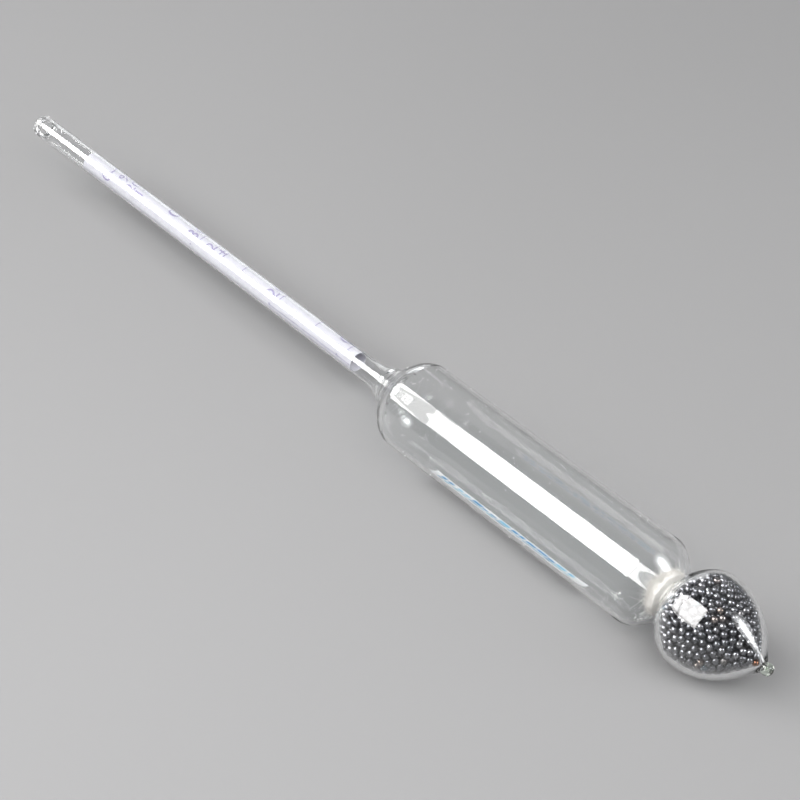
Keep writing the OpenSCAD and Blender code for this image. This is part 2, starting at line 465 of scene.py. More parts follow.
# ---------------------------------------------------------------- glass: one wall, cut into its pieces
# Each outline is a list of (piece, points, step). Neighbours share their end points, so the pieces
# close up into one wall with no surface between them, as fused glass has none.
def outer_outline():
    rim = 1.25  # how far the sealed end's edge is rounded
    a = np.linspace(0, math.pi / 2, 24)
    cap = np.stack([rim * (1 - np.cos(a)) ** 1.1, STEM_R - rim * (1 - np.sin(a))], axis=1)
    cap = np.r_[[[0, 0]], cap, [[SEAL_END, STEM_R]]]
    tube = np.r_[
        [[SEAL_END, STEM_R], [FLARE_AT, STEM_R]], flare(STEM_R, NECK_R, FLARE_AT, WELD_AT)
    ]
    weld = flare(STEM_R, NECK_R, WELD_AT, WELD_END)
    neck = flare(STEM_R, NECK_R, WELD_END, NECK_AT)
    shoulder = quarter(NECK_R, NECK_AT, BODY_R, SHOULDER_AT, SHOULDER_BEND)
    shoulder = eased(np.r_[neck, shoulder], 0.5)
    dome = quarter(WAIST_R, WAIST_AT - WAIST_HALF, BODY_R, DOME_AT, DOME_BEND)[::-1]
    dome = eased(np.r_[[[DOME_AT - 3, BODY_R]], dome], 1.6)
    k = np.linspace(-1, 1, 15)
    waist = np.stack([WAIST_AT + WAIST_HALF * k, WAIST_R - WAIST_GROOVE * (1 - k * k)], axis=1)
    bulb = np.r_[
        quarter(WAIST_R, WAIST_AT + WAIST_HALF, BULB_R, WIDEST_AT, BULB_BEND),
        taper(BULB_R, TIP_R, TIP_AT),
    ]
    a = np.linspace(math.asin(TIP_R / BEAD_R), math.pi, 40)
    bead = np.stack([END - BEAD_R - BEAD_R * np.cos(a), BEAD_R * np.sin(a)], axis=1)
    return [
        ("stem_end_seal", cap, 0.2),
        ("stem_tube", tube, 1.4),
        ("neck_weld", weld, 0.05),
        ("float_body", shoulder, 0.08),
        ("float_body", [shoulder[-1], dome[0]], 0.6),
        ("float_body", dome, 0.15),
        ("waist_weld", waist, 0.06),
        ("ballast_bulb", bulb, 0.25),
        ("tip_bead", bead, 0.09),
    ]


def inner_outline():
    a = np.linspace(0, math.pi / 2, 24)
    solid = 2.0  # the sealed end has no hollow before this place
    hollow = np.stack([SEAL_END - (SEAL_END - solid) * np.cos(a), BORE_R * np.sin(a)], axis=1)
    tube = np.r_[
        [[SEAL_END, BORE_R], [FLARE_AT, BORE_R]], flare(BORE_R, FLARE_BORE_R, FLARE_AT, WELD_AT)
    ]
    weld = flare(BORE_R, FLARE_BORE_R, WELD_AT, WELD_END)
    neck = flare(BORE_R, FLARE_BORE_R, WELD_END, NECK_AT)
    shoulder_from = NECK_AT + SHOULDER_INSET
    shoulder = quarter(FLARE_BORE_R, shoulder_from, BODY_BORE_R, SHOULDER_AT, SHOULDER_BEND)
    shoulder = eased(np.r_[neck, shoulder], 1.3)
    dome = quarter(THROAT_R, WAIST_AT - THROAT_HALF, BODY_BORE_R, DOME_AT, DOME_BEND)[::-1]
    dome = eased(np.r_[[[DOME_AT - 3, BODY_BORE_R]], dome], 1.6)
    waist = [[WAIST_AT - THROAT_HALF, THROAT_R], [WAIST_AT + THROAT_HALF, THROAT_R]]
    bulb = np.r_[
        quarter(THROAT_R, WAIST_AT + THROAT_HALF, BULB_R - BULB_WALL, WIDEST_AT, BULB_BEND),
        taper(BULB_R - BULB_WALL, 0, TIP_AT - TAPER_INSET),
    ]
    return [
        ("stem_end_seal", hollow, 0.2),
        ("stem_tube", tube, 1.4),
        ("neck_weld", weld, 0.06),
        ("float_body", shoulder, 0.1),
        ("float_body", [shoulder[-1], dome[0]], 0.6),
        ("float_body", dome, 0.2),
        ("waist_weld", waist, 0.2),
        ("ballast_bulb", bulb, 0.3),
    ]


def flame_rings(z, rings):
    """Rings raised by the flame."""
    return sum(h * np.exp(-(((z - at) / w) ** 2)) for at, w, h in rings)


def draw_lines(z, lines, phase):
    """Fine lengthwise lines left by drawing the tube, which wander a little along it."""
    out = np.zeros((len(z), SEGMENTS))
    for i, (angle, width, height) in enumerate(lines):
        wander = 1.5 * np.sin(z / 23 + phase + 1.7 * i)
        strength = 0.75 + 0.25 * np.sin(z / 31 + 2.1 * phase + i)
        off = (np.degrees(ROUND)[None] - angle - wander[:, None] + 180) % 360 - 180
        out += height * strength[:, None] * np.exp(-((off / width) ** 2))
    return out


def bulb_shift(z):
    """How far the bulb's hollow lies off the axis, in mm, as its wall isn't equally thick all round."""
    rise = smooth_step(z, WAIST_AT + THROAT_HALF, WIDEST_AT - 2)
    return 0.2 * rise * (1 - smooth_step(z, TIP_AT - 6, TIP_AT - 1))


HOLLOW_WAY = math.radians(307)  # where the bulb's hollow is shifted to, as an angle round the axis
# Lines are (angle, width, height), with degrees for the first two and mm for the third
OUTER_LINES = [(-18, 2.6, 0.003), (-4, 2.2, 0.004), (3, 3.0, 0.003), (71, 2.5, 0.002), (160, 3, 0.003)]
INNER_LINES = [(-12, 2.4, 0.004), (-1, 3.0, 0.005), (60, 2.6, 0.003), (118, 3, 0.004), (215, 3, 0.004)]
# Rings are (place, half width, height) in mm
OUTER_RINGS = [
    (WELD_AT - 2.3, 0.2, 0.05),
    (WELD_AT - 0.1, 0.22, 0.1),
    (NECK_AT - 2.0, 0.18, 0.06),
    (NECK_AT - 1.2, 0.16, 0.07),
    (NECK_AT - 0.5, 0.15, 0.06),
    (NECK_AT + 0.3, 0.16, 0.05),
    (NECK_AT + 0.9, 0.18, 0.03),
]
INNER_RINGS = [
    (WELD_AT + 0.1, 0.3, 0.07),
    (WELD_END - 0.3, 0.3, -0.05),
    (NECK_AT - 1.8, 0.3, 0.05),
    (NECK_AT + 0.2, 0.3, 0.03),
]


def wall(outline, outer):
    """The positions and normals of one face of the glass, and which rows belong to each piece."""
    rows, spans = [], {}
    for node, points, step in outline:
        line = resample(points, step)
        first = max(len(rows) - 1, 0)
        rows += list(line if not rows else line[1:])
        spans[node] = (spans.get(node, (first,))[0], len(rows) - 1)
    rows = np.array(rows)
    z, r = rows[:, 0], rows[:, 1]
    if outer:
        k = np.clip((z - WELD_AT) / (WELD_END - WELD_AT), 0, 1)
        raised = WELD_BULGE * np.sin(math.pi * k) + flame_rings(z, OUTER_RINGS)
        lines = draw_lines(z, OUTER_LINES, 0.3)
    else:
        raised = flame_rings(z, INNER_RINGS)
        lines = draw_lines(z, INNER_LINES, 1.9)
    rough = raised[:, None] + lines * smooth_step(r, 0.5, 3)[:, None]
    along = np.gradient(rows, axis=0)
    along /= np.linalg.norm(along, axis=1, keepdims=True) + 1e-12
    place = z[:, None] - along[:, 1:] * rough
    radius = r[:, None] + along[:, :1] * rough
    radius[r == 0] = 0
    position = to_world(place, radius, ROUND[None])
    if not outer:
        shift = bulb_shift(z)[:, None] * MM
        position[..., 1] -= shift * math.sin(HOLLOW_WAY)
        position[..., 2] += shift * math.cos(HOLLOW_WAY)
    around = np.roll(position, -1, 1) - np.roll(position, 1, 1)
    down = np.gradient(position, axis=0)
    normal = np.cross(around, down)
    normal /= np.linalg.norm(normal, axis=-1, keepdims=True) + 1e-12
    for i in np.flatnonzero(r == 0):
        normal[i] = (-1 if i == 0 else 1, 0, 0)
    return position, normal if outer else -normal, spans, r == 0


def grid_part(position, normal, poles, first, last, inward):
    """The vertices, quads, triangles and normals of some rows of a round face. A pole is one point."""
    around = position.shape[1]
    verts, normals, ids, count = [], [], [], 0
    for i in range(first, last + 1):
        many = 1 if poles[i] else around
        verts.append(position[i][:many])
        normals.append(normal[i][:many])
        ids.append(np.arange(count, count + many) if many > 1 else np.full(around, count))
        count += many
    quads, tris = [], []
    for upper, lower, i in zip(ids, ids[1:], range(first, last)):
        upper_next, lower_next = np.roll(upper, -1), np.roll(lower, -1)
        if poles[i]:
            tris.append(np.stack([upper, lower_next, lower], 1))
        elif poles[i + 1]:
            tris.append(np.stack([upper, upper_next, lower], 1))
        else:
            quads.append(np.stack([upper, upper_next, lower_next, lower], 1))
    quads = np.concatenate(quads) if quads else np.zeros((0, 4), int)
    tris = np.concatenate(tris) if tris else np.zeros((0, 3), int)
    if inward:
        quads, tris = quads[:, ::-1], tris[:, ::-1]
    return np.concatenate(verts), quads, tris, np.concatenate(normals)


def joined(parts):
    """Several results of grid_part as one."""
    verts, quads, tris, normals = zip(*parts)
    starts = np.cumsum([0] + [len(v) for v in verts[:-1]])
    quads = np.concatenate([q + start for q, start in zip(quads, starts)])
    tris = np.concatenate([t + start for t, start in zip(tris, starts)])
    return np.concatenate(verts), quads, tris, np.concatenate(normals)


def bubble(place, radius):
    """A small round void in the glass, drawn out along the axis, as arrays like grid_part's."""
    rings = 16
    a = np.linspace(0, math.pi, rings + 1)[:, None]
    position = to_world(place - 1.3 * radius * np.cos(a), radius * np.sin(a), ROUND[None])
    normal = to_world(place, 0, 0) - position
    normal /= np.linalg.norm(normal, axis=-1, keepdims=True)
    poles = np.arange(rings + 1) % rings == 0
    return grid_part(position, normal, poles, 0, rings, True)


def glass_pieces():
    materials = {"neck_weld": WELD_GLASS, "waist_weld": WELD_GLASS, "tip_bead": BEAD_GLASS}
    slots = {"neck_weld": "weld_glass", "waist_weld": "weld_glass", "tip_bead": "bead_glass"}
    faces = [wall(outer_outline(), True), wall(inner_outline(), False)]
    for node in faces[0][2]:
        parts = [
            grid_part(position, normal, poles, *spans[node], bool(inward))
            for inward, (position, normal, spans, poles) in enumerate(faces)
            if node in spans
        ]
        if node == "tip_bead":
            parts.append(bubble(END - 1.15 * BEAD_R, 0.42))
        verts, quads, tris, normals = joined(parts)
        material = materials.get(node, GLASS)
        obj = mesh_object("glass_" + node, verts, [quads, tris], material, normals)
        finish_piece(obj, slots.get(node, "glass"), node)


glass_pieces()


# ---------------------------------------------------------------- the paper scale in the stem
PAPER_T = 0.1
PAPER_R = BORE_R - SKIN


def rolled_paper():
    """One sheet rolled into a tube, lapped over itself, with its outer edge at the seam."""
    lap = 36
    turns = np.radians(np.arange(0, 360 + lap + 0.1, 3))
    rows = np.linspace(PAPER_START, PAPER_END, 60)
    pitch = 1.2 * PAPER_T
    settle = pitch * turns / (2 * math.pi)
    wave = 0.012 * np.sin(rows / 9)[:, None] * np.sin(turns * 2 + 0.7)[None] - 0.012
    # Outer face, then inner face, as one closed strip across the sheet
    line_r = np.r_[PAPER_R - settle, (PAPER_R - settle - PAPER_T)[::-1]]
    line_a = np.r_[turns, turns[::-1]] + math.radians(SEAM_ANGLE)
    wave = np.concatenate([wave, wave[:, ::-1]], axis=1)
    verts = to_world(rows[:, None], line_r[None] + wave, line_a[None])
    n = len(line_r)
    ids = np.arange(len(rows) * n).reshape(len(rows), n)
    following = np.roll(ids, -1, 1)
    quads = np.stack([ids[:-1], following[:-1], following[1:], ids[1:]], -1).reshape(-1, 4)
    k = np.arange(n // 2 - 1)
    ends = []
    for row, flip in ((ids[0], False), (ids[-1], True)):
        cap = np.stack([row[k], row[n - 1 - k], row[n - 2 - k], row[k + 1]], 1)
        ends.append(cap[:, ::-1] if flip else cap)
    obj = mesh_object("rolled_scale", verts.reshape(-1, 3), [quads, *ends], SCALE_PAPER)
    sharpen(obj)
    finish_piece(obj, "scale_paper", "scale_paper")


def cut_up(bm):
    """Cuts flat artwork into narrow upright strips, so that it can bend round a tube."""
    half, step = 6, 0.25
    for at in np.arange(step - half, half, step):
        everything = bm.verts[:] + bm.edges[:] + bm.faces[:]
        bmesh.ops.bisect_plane(bm, geom=everything, plane_co=(at, 0, 0), plane_no=(1, 0, 0))


def wrapped(bm, radius, place, angle):
    """Lays flat artwork in mm on a tube seen from outside, with the sealed end of the stem upwards."""
    across, up = np.array([v.co[:2] for v in bm.verts]).T
    where = to_world(place - up, radius, math.radians(angle) - across / radius)
    for v, p in zip(bm.verts, where):
        v.co = p


def lettering(body, size):
    """Flat artwork of some figures, centred, in mm."""
    curve = bpy.data.curves.new("figures", "FONT")
    curve.body = body
    curve.size = size
    curve.align_x = "CENTER"
    curve.resolution_u = 3
    holder = linked_object("figures", curve)
    bpy.context.view_layer.update()
    evaluated = holder.evaluated_get(bpy.context.evaluated_depsgraph_get())
    mesh = bpy.data.meshes.new_from_object(evaluated)
    bm = bmesh.new()
    bm.from_mesh(mesh)
    bpy.data.objects.remove(holder)
    bpy.data.curves.remove(curve)
    bpy.data.meshes.remove(mesh)
    xs = [v.co.x for v in bm.verts]
    ys = [v.co.y for v in bm.verts]
    middle = Vector(((min(xs) + max(xs)) / 2, (min(ys) + max(ys)) / 2, 0))
    for v in bm.verts:
        v.co -= middle
    return bm


def box_art(left, right, low, high):
    """A flat rectangle in mm."""
    bm = bmesh.new()
    corners = ((left, low), (right, low), (right, high), (left, high))
    bm.faces.new([bm.verts.new((x, y, 0)) for x, y in corners])
    return bm


def print_piece(name, parts, material, slot, inward=False):
    """Joins finished artwork into one thin printed layer, which faces away from the axis or inward."""
    whole = bmesh.new()
    for bm in parts:
        mesh = bpy.data.meshes.new("part")
        bm.to_mesh(mesh)
        whole.from_mesh(mesh)
        bm.free()
        bpy.data.meshes.remove(mesh)
    fix_normals(whole)
    middle = Vector((0, 0, AXIS_Z))
    for face in whole.faces:
        away = face.calc_center_median() - middle
        away.x = 0
        if (face.normal.dot(away) < 0) != inward:
            face.normal_flip()
    mesh = bpy.data.meshes.new(name)
    whole.to_mesh(mesh)
    whole.free()
    mesh.materials.append(material)
    finish_piece(linked_object(name, mesh), slot)


# Where the numbered and plain lines of the scale are, in mm from the sealed end
TICKS = [(72.8, "30"), (89.9, ""), (105.0, "20"), (118.8, ""), (131.0, "10")]
# The generic print above them: (place, text, height in mm)
HEADINGS = [
    (33.6, "0-40", 2.9),
    (38.6, "%", 3.0),
    (42.6, "20°", 2.9),
    (46.4, "1:1", 2.8),
    (59.5, "0", 3.4),
    (77.0, "2.5", 2.8),
    (80.8, "±1", 2.8),
]
PRINT_ANGLE = -8
INK_R = PAPER_R + 0.006
# Where the painted shadow line along the lapped edge of the sheet starts, in mm from the sealed end
SEAM_SHADOW_FROM = 102.7
FONT_SIZE = 1.65  # of type whose figures are 1 mm high


def scale_print():
    parts = []

    def put(art, place, angle):
        cut_up(art)
        wrapped(art, INK_R, place, angle)
        parts.append(art)

    for place, number in TICKS:
        put(box_art(-2.6, 3.4, -0.13, 0.13), place, PRINT_ANGLE)
        if number:
            # The number, and a short dash and a dot beside it
            put(lettering(number, 5.6), place - 3.1, PRINT_ANGLE - 3)
            put(box_art(2.9, 3.7, -0.12, 0.12), place - 2.9, PRINT_ANGLE)
            put(box_art(-3.9, -3.5, -0.2, 0.2), place - 2.2, PRINT_ANGLE)
    for place, text, height in HEADINGS:
        put(lettering(text, height * FONT_SIZE), place, PRINT_ANGLE - 10)
    # A thin dark line in ink beside the lapped edge of the sheet: a painted shadow of the lap edge, not
    # print
    seam = box_art(-0.07, 0.07, -PAPER_END, -SEAM_SHADOW_FROM)
    wrapped(seam, INK_R, 0, SEAM_ANGLE - 2)
    parts.append(seam)
    print_piece("scale_print_and_seam_shadow", parts, SCALE_INK_AND_SEAM_SHADOW, "scale_paper")


rolled_paper()
scale_print()


# ---------------------------------------------------------------- the paper slip in the body
SLIP_ROOM, SLIP_T = 0.12, 0.11
SLIP_R = BODY_BORE_R - SKIN - SLIP_ROOM


def paper_slip():
    """A narrow curved strip with slightly uneven edges and rounded lifting corners."""
    along = np.linspace(SLIP_START, SLIP_END, 90)
    across = np.linspace(-1, 1, 17)
    half = math.radians(SLIP_WIDTH / 2)
    edge = 1 + 0.012 * np.sin(along / 3.1) + 0.01 * np.sin(along / 1.3 + 2)
    angle = math.radians(SLIP_ANGLE) + half * across[None] * edge[:, None]
    nearest = np.minimum(along - SLIP_START, SLIP_END - along)
    lift = 0.25 * np.exp(-nearest / 1.5)[:, None] * np.abs(across[None]) ** 3
    sheets = [to_world(along[:, None], SLIP_R + t - lift, angle) for t in (0.0, SLIP_T)]
    rows, cols = len(along), len(across)
    ids = np.arange(rows * cols).reshape(rows, cols)
    top = np.stack([ids[:-1, :-1], ids[1:, :-1], ids[1:, 1:], ids[:-1, 1:]], -1).reshape(-1, 4)
    under = top[:, ::-1] + rows * cols
    rim = np.r_[ids[0, :-1], ids[:-1, -1], ids[-1, :0:-1], ids[:0:-1, 0]]
    side = np.stack([rim, np.roll(rim, -1), np.roll(rim, -1) + rows * cols, rim + rows * cols], 1)
    verts = np.concatenate([s.reshape(-1, 3) for s in sheets])
    obj = mesh_object("paper_slip", verts, [top, under, side], SLIP_PAPER)
    edited_mesh(obj, fix_normals)
    sharpen(obj)
    finish_piece(obj, "label_paper", "body_label")


def slip_print():
    """Generic blocks in two blues, on the face that looks into the body."""
    rng = np.random.default_rng(11)
    radius = SLIP_R - 0.008
    dark, pale = [], []
    place = SLIP_START + 2.5
    while place < SLIP_END - 5:
        width = rng.uniform(1.4, 3.4)
        gap = rng.choice([0.4, 0.8, 1.5], p=[0.4, 0.4, 0.2])
        for low, high, group in (
            (-1.6, rng.uniform(-0.9, -0.3), dark if rng.random() < 0.3 else pale),
            (rng.uniform(0.0, 0.3), rng.uniform(1.0, 1.7), dark if rng.random() < 0.5 else pale),
        ):
            block = box_art(-low, -high, 0, width)
            wrapped(block, radius, place + width, SLIP_ANGLE)
            group.append(block)
        place += width + gap
    print_piece("slip_print_dark", dark, SLIP_INK, "label_paper", inward=True)
    print_piece("slip_print_pale", pale, SLIP_TINT, "label_paper", inward=True)


paper_slip()
slip_print()


# ---------------------------------------------------------------- glue behind the scale and the slip
def glue_dabs(name, node, count, half_length, radius, middle_angle, half_angle):
    """Flattened dabs between paper and glass, with a wavy outline."""
    verts, faces, used = [], [], 0
    rings, spokes = 7, 36
    thick = SKIN - 0.012
    middle_angle, half_angle = math.radians(middle_angle), math.radians(half_angle)
    start, end = places(node)
    for i, middle in enumerate(np.linspace(start + 2, end - 2, count)):
        t = np.linspace(0, 2 * math.pi, spokes, endpoint=False)
        outline = 0.85 + 0.1 * np.sin(3 * t + i) + 0.05 * np.sin(5 * t + 2 * i)
        k = np.linspace(0, 1, rings)[1:]
        for side in (0.04, 0.96):
            reach = k[:, None] * outline[None]
            dome = 0.5 + (side - 0.5) * np.sqrt(1 - k[:, None] ** 4)
            body = to_world(
                middle + half_length * reach * np.cos(t),
                radius + thick * dome,
                middle_angle + half_angle * reach * np.sin(t),
            )
            centre = to_world([middle], radius + thick * side, middle_angle)
            verts += [centre, body.reshape(-1, 3)]
            ids = used + 1 + np.arange(len(k) * spokes).reshape(len(k), spokes)
            following = np.roll(ids, -1, 1)
            fan = np.stack([np.full(spokes, used), ids[0], following[0]], 1)
            band = np.stack([ids[:-1], ids[1:], following[1:], following[:-1]], -1).reshape(-1, 4)
            faces += [fan, band]
            used += 1 + len(k) * spokes
    obj = mesh_object(name, np.concatenate(verts), faces, GLUE)
    edited_mesh(obj, merge_doubles, fix_normals)
    finish_piece(obj, "glue", node)


glue_dabs("glue_scale", "scale_glue", 2, 2.0, PAPER_R, 180, 15)
glue_dabs("glue_slip", "label_glue", 3, 1.6, SLIP_R + SLIP_ROOM, SLIP_ANGLE, 10)


# ---------------------------------------------------------------- the shot
PACKING = 0.572  # the share of the bulb that the balls fill
FINE_DEPTH = 3.4 * SHOT_R  # balls deeper than this have fewer faces


def bulb_inside():
    for node, points, _ in inner_outline():
        if node == "ballast_bulb":
            return resample(points, 0.25)


def pack_balls():
    """Centres of the balls, packed at random in the bulb: they start small and overlapping ones are
    pushed apart while they grow, and the glass and the plug hold them in."""
    rng = np.random.default_rng(5)
    line = bulb_inside()
    along = np.gradient(line, axis=0)
    along /= np.linalg.norm(along, axis=1, keepdims=True)
    inwards = np.stack([along[:, 1], -along[:, 0]], 1)
    # The plug's foot is part of a ball that bulges this far out of the throat
    bulge = PLUG_END - WAIST_AT - THROAT_HALF
    foot_r = (THROAT_R**2 + bulge**2) / 2 / bulge
    foot_at = PLUG_END - foot_r
    z = np.linspace(WAIST_AT + THROAT_HALF + 0.4, TIP_AT - TAPER_INSET, 2000)
    area = math.pi * np.interp(z, line[:, 0], line[:, 1]) ** 2
    volume = area.mean() * (z[-1] - z[0])
    count = int(PACKING * volume / (4 / 3 * math.pi * SHOT_R**3))
    chance = area / area.sum()
    zs = rng.choice(z, count, p=chance)
    spread = np.sqrt(rng.random(count)) * np.interp(zs, line[:, 0], line[:, 1])
    turn = rng.random(count) * 2 * math.pi
    p = np.stack([zs, spread * np.cos(turn), spread * np.sin(turn)], 1)
    # The balls start at 0.6 of their size, and have all of it a little past half way
    steps, grown = 420, 0.55
    for step in range(steps):
        r = SHOT_R * min(1, 0.6 + 0.4 * step / (steps * grown))
        if step % 6 == 0:
            gap = ((p[:, None] - p[None]) ** 2).sum(-1)
            a, b = np.nonzero(np.triu(gap < (2.5 * SHOT_R) ** 2, 1))
        between = p[b] - p[a]
        far = np.linalg.norm(between, axis=1) + 1e-9
        over = np.clip(2 * r - far, 0, None)
        push = between / far[:, None] * (over * 0.45)[:, None]
        for i in range(3):
            p[:, i] += np.bincount(b, push[:, i], count) - np.bincount(a, push[:, i], count)
        rho = np.linalg.norm(p[:, 1:], axis=1) + 1e-9
        off = np.stack([p[:, 0], rho], 1)[:, None] - line[None]
        near = (off**2).sum(-1).argmin(1)
        depth = (off[np.arange(count), near] * inwards[near]).sum(1)
        short = np.clip(r + 0.02 - depth, 0, None)
        p[:, 0] += short * inwards[near, 0]
        new_rho = np.clip(rho + short * inwards[near, 1], 0, None)
        p[:, 1:] *= (new_rho / rho)[:, None]
        from_foot = p - (foot_at, 0, 0)
        reach = np.linalg.norm(from_foot, axis=1, keepdims=True)
        p += from_foot / reach * np.clip(foot_r + r - reach, 0, None)
    return p, (2 * SHOT_R - far.min()) / 2, depth


def ball_mesh(subdivisions):
    ball = bmesh.new()
    bmesh.ops.create_icosphere(ball, subdivisions=subdivisions, radius=1)
    shape = np.array([v.co[:] for v in ball.verts])
    tris = np.array([[v.index for v in f.verts] for f in ball.faces])
    ball.free()
    return shape, tris


def shot():
    """All the balls in one mesh, with the rusty one nearest the tip."""
    centres, overlap, depth = pack_balls()
    radius = SHOT_R - 0.4 * overlap
    rng = np.random.default_rng(9)
    place, y, x = centres.T
    shift = bulb_shift(place)
    middle = np.stack(
        [
            START_X + place * MM,
            (y - shift * math.sin(HOLLOW_WAY)) * MM,
            AXIS_Z + (x + shift * math.cos(HOLLOW_WAY)) * MM,
        ],
        1,
    )
    tone = rng.random(len(middle)) * 0.97
    tone[np.argmax(place)] = 1.0
    verts, faces, tones, count = [], [], [], 0
    for group, detail in ((depth < FINE_DEPTH, 3), (depth >= FINE_DEPTH, 2)):
        shape, tris = ball_mesh(detail)
        few = middle[group]
        verts.append((few[:, None] + shape[None] * radius * MM).reshape(-1, 3))
        starts = count + np.arange(len(few)) * len(shape)
        faces.append((tris[None] + starts[:, None, None]).reshape(-1, 3))
        tones.append(np.repeat(tone[group], len(shape)))
        count += len(few) * len(shape)
    obj = mesh_object("ballast_balls", np.concatenate(verts), faces, SHOT)
    attribute = obj.data.attributes.new("tone", "FLOAT", "POINT")
    attribute.data.foreach_set("value", np.concatenate(tones).astype(np.float32))
    finish_piece(obj, "shot", "ballast_shot", "ballast_core")


shot()


# ---------------------------------------------------------------- the cotton plug
INSIDE = np.concatenate([points for _, points, _ in inner_outline()])
PLUG_CENTRE = np.array([START_X + (WAIST_AT - 2) * MM, 0, AXIS_Z])


def away_from_plug(points):
    out = points - PLUG_CENTRE
    return out / np.linalg.norm(out, axis=-1, keepdims=True)


def plug_outline():
    a = np.linspace(0, math.pi / 2, 30)
    widest_at = WAIST_AT - 1.9
    head = np.stack([widest_at - (widest_at - PLUG_START) * np.cos(a), PLUG_R * np.sin(a)], 1)
    stalk = THROAT_R - SKIN
    rest = [
        [widest_at + 0.35, PLUG_R - 0.15],
        [WAIST_AT - THROAT_HALF, stalk],
        [WAIST_AT + THROAT_HALF, stalk],
        [PLUG_END - 0.2, stalk * 0.6],
        [PLUG_END, 0],
    ]
    return resample(np.r_[head, rest], 0.16)


def cotton_plug():
    """A lumpy wad. Gives back the points of its free surface, where fibres can stand."""
    line = plug_outline()
    spokes = 120
    around = np.arange(spokes) * 2 * math.pi / spokes
    position = to_world(line[:, :1], line[:, 1:], around[None])
    free = 1 - smooth_step(line[:, 0], WAIST_AT - THROAT_HALF - 0.8, WAIST_AT - THROAT_HALF)
    # Lumps of three sizes: (how high in mm, how many to a metre)
    sizes = ((0.55, 420), (0.3, 1300), (0.12, 3600))

    def lump(point):
        return sum(high * noise.noise(Vector(point) * many) for high, many in sizes)

    lumps = np.array([[lump(point) for point in row] for row in position])
    raised = (lumps - 0.2) * free[:, None] * MM
    position = position + away_from_plug(position) * raised[..., None]
    poles = line[:, 1] < 1e-6
    verts, quads, tris, _ = grid_part(position, position, poles, 0, len(line) - 1, False)
    obj = mesh_object("cotton_wad", verts, [quads, tris], COTTON)
    finish_piece(obj, "cotton", "cotton_plug")
    return position[free > 0.4].reshape(-1, 3)


def fibres(name, roots, seed, length, thick, lift, curl):
    """Thin curled fibres as three-sided tapering tubes, which stay inside the glass."""
    rng = np.random.default_rng(seed)
    outs = away_from_plug(roots)
    count, steps = len(roots), 9
    way = rng.normal(size=(count, 3))
    way -= (way * outs).sum(1, keepdims=True) * outs
    way /= np.linalg.norm(way, axis=1, keepdims=True)
    way = way + outs * rng.uniform(0, lift, (count, 1))
    turn = rng.normal(size=(count, 3)) * curl - outs * 0.55
    reach = length * rng.uniform(0.4, 1.0, (count, 1))
    places_along = np.linspace(0, 1, steps)
    points = [roots + reach * (way * k + turn * k * k * 0.5) * MM for k in places_along]
    points = np.stack(points, 1)
    room = 0.94 * np.interp((points[..., 0] - START_X) / MM, *INSIDE.T) * MM
    across = points[..., 1:] - (0, AXIS_Z)
    off_axis = np.linalg.norm(across, axis=-1) + 1e-12
    points[..., 1:] = (0, AXIS_Z) + across * np.minimum(1, room / off_axis)[..., None]
    along = np.gradient(points, axis=1)
    along /= np.linalg.norm(along, axis=-1, keepdims=True) + 1e-12
    side = np.cross(along, outs[:, None])
    side /= np.linalg.norm(side, axis=-1, keepdims=True) + 1e-12
    other = np.cross(along, side)
    size = thick * MM * (1 - 0.75 * places_along)[None, :, None]
    corners = [
        points + size * (side * math.cos(a) + other * math.sin(a))
        for a in (0, 2 * math.pi / 3, 4 * math.pi / 3)
    ]
    verts = np.stack(corners, 2).reshape(-1, 3)
    ids = np.arange(count * steps * 3).reshape(count, steps, 3)
    following = np.roll(ids, -1, 2)
    quads = np.stack([ids[:, :-1], following[:, :-1], following[:, 1:], ids[:, 1:]], -1).reshape(-1, 4)
    tips = np.concatenate([ids[:, 0, ::-1], ids[:, -1]])
    finish_piece(mesh_object(name, verts, [quads, tips], COTTON), "cotton")


def loose_cotton(surface):
    """A halo of short fibres all over, and a few long wisps on the lower side towards the body."""
    rng = np.random.default_rng(3)
    roots = surface[rng.integers(0, len(surface), 5200)]
    fibres("cotton_fibres", roots, 21, length=1.9, thick=0.02, lift=1.1, curl=0.8)
    lower = surface[(surface[:, 0] < PLUG_CENTRE[0] - 0.002) & (surface[:, 1] < -0.0015)]
    roots = lower[rng.integers(0, len(lower), 16)]
    fibres("cotton_wisps", roots, 23, length=4.6, thick=0.03, lift=0.7, curl=1.3)


loose_cotton(cotton_plug())


# ---------------------------------------------------------------- dust and lint on the glass
def body_radius(place):
    return np.interp(place, *np.concatenate([p for _, p, _ in outer_outline()]).T)


def specks():
    """Small flat-sided crumbs of lint, loosely over the body and in two clusters near the dome."""
    rng = np.random.default_rng(17)
    count, at_shoulder, facing, in_cluster = 120, 36, 60, 9
    place = rng.uniform(SHOULDER_AT - 5, DOME_AT + 5, count)
    place[:at_shoulder] = rng.uniform(SHOULDER_AT - 4, SHOULDER_AT + 14, at_shoulder)
    angle = np.radians(rng.uniform(0, 360, count))
    angle[:facing] = np.radians(rng.uniform(-40, 115, facing))
    size = rng.uniform(0.05, 0.13, count)
    for first, at, way in ((facing, DOME_AT + 0.6, 77), (facing + 10, DOME_AT + 4.4, 112)):
        few = slice(first, first + in_cluster)
        place[few] = at + rng.normal(0, 0.9, in_cluster)
        angle[few] = np.radians(way + rng.normal(0, 4, in_cluster))
        size[few] = rng.uniform(0.09, 0.2, in_cluster)
    shape, tris = ball_mesh(1)
    stretch = rng.uniform(0.5, 1.3, (count, 1, 3))
    rough = 1 + 0.35 * rng.normal(size=(count, len(shape), 1))
    centre = to_world(place, body_radius(place) + 0.25 * size, angle)
    verts = centre[:, None] + shape[None] * stretch * rough * (size * MM)[:, None, None]
    faces = tris[None] + (np.arange(count) * len(shape))[:, None, None]
    obj = mesh_object("lint_specks", verts.reshape(-1, 3), [faces.reshape(-1, 3)], LINT)
    finish_piece(obj, "cotton")


specks()


